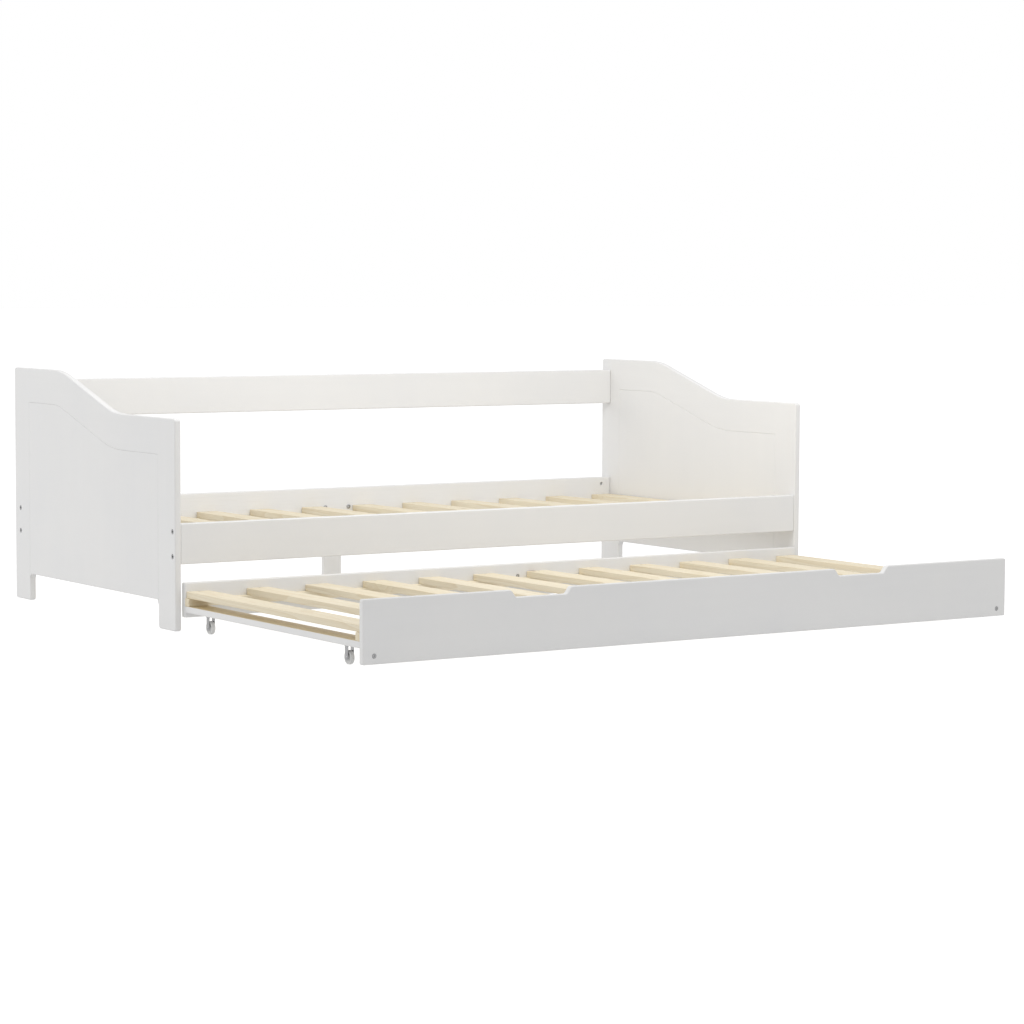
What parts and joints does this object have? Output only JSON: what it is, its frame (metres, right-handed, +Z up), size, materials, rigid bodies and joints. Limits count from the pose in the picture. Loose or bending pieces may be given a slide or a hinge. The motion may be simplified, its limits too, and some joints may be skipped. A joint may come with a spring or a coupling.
{
  "type": "trundle bed",
  "caption": "Painted wooden daybed with S-curved end panels and bare slats, and a low slatted trundle on casters that rolls out from under its front rail.",
  "frame": {"origin": "on the floor, in the middle of the footprint of the daybed and the rolled-out trundle together", "axes": "+X along the bed's length to the right seen from the front, +Y from the front to the back, +Z up"},
  "size_m": [2.041, 1.882, 0.65],
  "materials": {
    "white_paint": "white semi-gloss lacquer over solid pine",
    "bare_pine": "planed, unfinished",
    "beech": "fluted dowel, unfinished",
    "zinc_steel": "zinc plated",
    "bright_steel": "nickel plated, bright",
    "wheel_plastic": "light grey nylon"
  },
  "bodies": {
    "daybed": {"left_front_post": "white_paint", "left_back_post": "white_paint", "left_top_rail": "white_paint", "left_centre_panel": "white_paint", "right_front_post": "white_paint", "right_back_post": "white_paint", "right_top_rail": "white_paint", "right_centre_panel": "white_paint", "front_rail": "white_paint", "lower_back_rail": "white_paint", "upper_back_rail": "white_paint", "middle_leg": "white_paint", "bed_front_ledger": "bare_pine", "bed_back_ledger": "bare_pine", "bed_slat_1": "bare_pine", "bed_slat_2": "bare_pine", "bed_slat_3": "bare_pine", "bed_slat_4": "bare_pine", "bed_slat_5": "bare_pine", "bed_slat_6": "bare_pine", "bed_slat_7": "bare_pine", "bed_slat_8": "bare_pine", "bed_slat_9": "bare_pine", "bed_slat_10": "bare_pine", "bed_slat_11": "bare_pine", "bed_slat_12": "bare_pine", "rail_bolts": "zinc_steel", "barrel_nuts": "zinc_steel", "cam_fittings": "zinc_steel", "leg_bolts": "zinc_steel", "bed_screws": "zinc_steel", "rail_dowels": "beech"},
    "trundle": {"trundle_front_panel": "white_paint", "trundle_back_board": "white_paint", "left_end_board": "white_paint", "right_end_board": "white_paint", "trundle_front_ledger": "bare_pine", "trundle_back_ledger": "bare_pine", "trundle_slat_1": "bare_pine", "trundle_slat_2": "bare_pine", "trundle_slat_3": "bare_pine", "trundle_slat_4": "bare_pine", "trundle_slat_5": "bare_pine", "trundle_slat_6": "bare_pine", "trundle_slat_7": "bare_pine", "trundle_slat_8": "bare_pine", "trundle_slat_9": "bare_pine", "trundle_slat_10": "bare_pine", "trundle_slat_11": "bare_pine", "trundle_slat_12": "bare_pine", "trundle_brackets": "zinc_steel", "trundle_bolts": "zinc_steel", "trundle_screws": "zinc_steel", "caster_screws": "zinc_steel", "caster_forks": "bright_steel", "caster_axles": "bright_steel"},
    "wheel_front_left_body": {"wheel_front_left": "wheel_plastic"},
    "wheel_front_right_body": {"wheel_front_right": "wheel_plastic"},
    "wheel_back_left_body": {"wheel_back_left": "wheel_plastic"},
    "wheel_back_right_body": {"wheel_back_right": "wheel_plastic"}
  },
  "joints": [
    {"name": "trundle_slide", "type": "slide", "parent": "daybed", "child": "trundle", "axis": [0, 1, 0], "range_m": [0, 0.905]},
    {"name": "wheel_front_left_spin", "type": "hinge", "parent": "trundle", "child": "wheel_front_left_body", "pos_m": [-0.968, -0.826, 0.017], "axis": [-1, 0, 0], "range_deg": [-5, 3060]},
    {"name": "wheel_front_right_spin", "type": "hinge", "parent": "trundle", "child": "wheel_front_right_body", "pos_m": [0.968, -0.826, 0.017], "axis": [-1, 0, 0], "range_deg": [-5, 3060]},
    {"name": "wheel_back_left_spin", "type": "hinge", "parent": "trundle", "child": "wheel_back_left_body", "pos_m": [-0.968, -0.131, 0.017], "axis": [-1, 0, 0], "range_deg": [-5, 3060]},
    {"name": "wheel_back_right_spin", "type": "hinge", "parent": "trundle", "child": "wheel_back_right_body", "pos_m": [0.968, -0.131, 0.017], "axis": [-1, 0, 0], "range_deg": [-5, 3060]}
  ],
  "couplings": [
    {"joint": "wheel_front_left_spin", "follows": "trundle_slide", "rad_per_m": 58.824},
    {"joint": "wheel_front_right_spin", "follows": "trundle_slide", "rad_per_m": 58.824},
    {"joint": "wheel_back_left_spin", "follows": "trundle_slide", "rad_per_m": 58.824},
    {"joint": "wheel_back_right_spin", "follows": "trundle_slide", "rad_per_m": 58.824}
  ]
}
